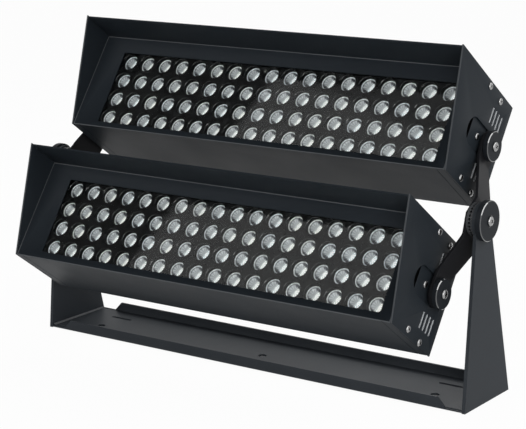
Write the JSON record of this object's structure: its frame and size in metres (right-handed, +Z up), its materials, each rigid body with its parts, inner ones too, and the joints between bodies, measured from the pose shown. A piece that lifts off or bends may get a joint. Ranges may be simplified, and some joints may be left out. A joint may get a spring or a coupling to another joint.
{
  "type": "led floodlight",
  "caption": "Twin-head LED wash floodlight with hooded heads on cranked swing arms, held by a floor yoke with toothed hubs.",
  "frame": {"origin": "centre of the yoke's underside, on the floor", "axes": "+X along the heads, to the right as seen from the lit side; -Y the side the light leaves from; +Z up"},
  "size_m": [0.7416, 0.3152, 0.4741],
  "materials": {
    "head_coat": "black satin powder coat on aluminium",
    "steel_coat": "black satin powder coat on steel",
    "fastener": "bright stainless steel",
    "glass": "clear toughened flat glass",
    "rubber": "black silicone rubber",
    "mask": "matt black",
    "lens": "clear moulded lens over a pale reflector",
    "board": "white solder mask on aluminium",
    "bare_aluminium": "plain extruded",
    "driver_case": "potted driver in a grey case",
    "nylon": "black nylon"
  },
  "bodies": {
    "yoke": {"yoke_bracket": "steel_coat", "hub_cap_left": "steel_coat", "hub_bolt_left": "fastener", "hub_nut_left": "fastener", "yoke_ratchet_left": "fastener", "hub_cap_right": "steel_coat", "hub_bolt_right": "fastener", "hub_nut_right": "fastener", "yoke_ratchet_right": "fastener"},
    "arms": {"swing_arm_left": "steel_coat", "arm_ratchet_left": "fastener", "swing_arm_right": "steel_coat", "arm_ratchet_right": "fastener"},
    "upper_head": {"upper_front_frame": "head_coat", "upper_glass": "glass", "upper_gasket": "rubber", "upper_lens_mask": "mask", "upper_lens_array": "lens", "upper_led_board": "board", "upper_heat_sink": "bare_aluminium", "upper_housing": "head_coat", "upper_cable_gland": "nylon", "upper_driver_box": "driver_case", "upper_rear_cover": "head_coat", "upper_visor": "head_coat", "upper_end_cap_left": "head_coat", "upper_side_plate_left": "head_coat", "upper_pivot_boss_left": "fastener", "upper_knob_left": "head_coat", "upper_pivot_screw_left": "fastener", "upper_end_cap_right": "head_coat", "upper_side_plate_right": "head_coat", "upper_pivot_boss_right": "fastener", "upper_knob_right": "head_coat", "upper_pivot_screw_right": "fastener"},
    "lower_head": {"lower_front_frame": "head_coat", "lower_glass": "glass", "lower_gasket": "rubber", "lower_lens_mask": "mask", "lower_lens_array": "lens", "lower_led_board": "board", "lower_heat_sink": "bare_aluminium", "lower_housing": "head_coat", "lower_cable_gland": "nylon", "lower_driver_box": "driver_case", "lower_rear_cover": "head_coat", "lower_visor": "head_coat", "lower_end_cap_left": "head_coat", "lower_side_plate_left": "head_coat", "lower_pivot_boss_left": "fastener", "lower_knob_left": "head_coat", "lower_pivot_screw_left": "fastener", "lower_end_cap_right": "head_coat", "lower_side_plate_right": "head_coat", "lower_pivot_boss_right": "fastener", "lower_knob_right": "head_coat", "lower_pivot_screw_right": "fastener"}
  },
  "joints": [
    {"name": "arm_swing", "type": "hinge", "parent": "yoke", "child": "arms", "pos_m": [0, -0.022, 0.2515], "axis": [1, 0, 0], "range_deg": [-30, 45]},
    {"name": "upper_head_tilt", "type": "hinge", "parent": "arms", "child": "upper_head", "pos_m": [0, 0.0589, 0.3323], "axis": [1, 0, 0], "range_deg": [-40, 50]},
    {"name": "lower_head_tilt", "type": "hinge", "parent": "arms", "child": "lower_head", "pos_m": [0, -0.0719, 0.1598], "axis": [1, 0, 0], "range_deg": [-20, 50]}
  ]
}
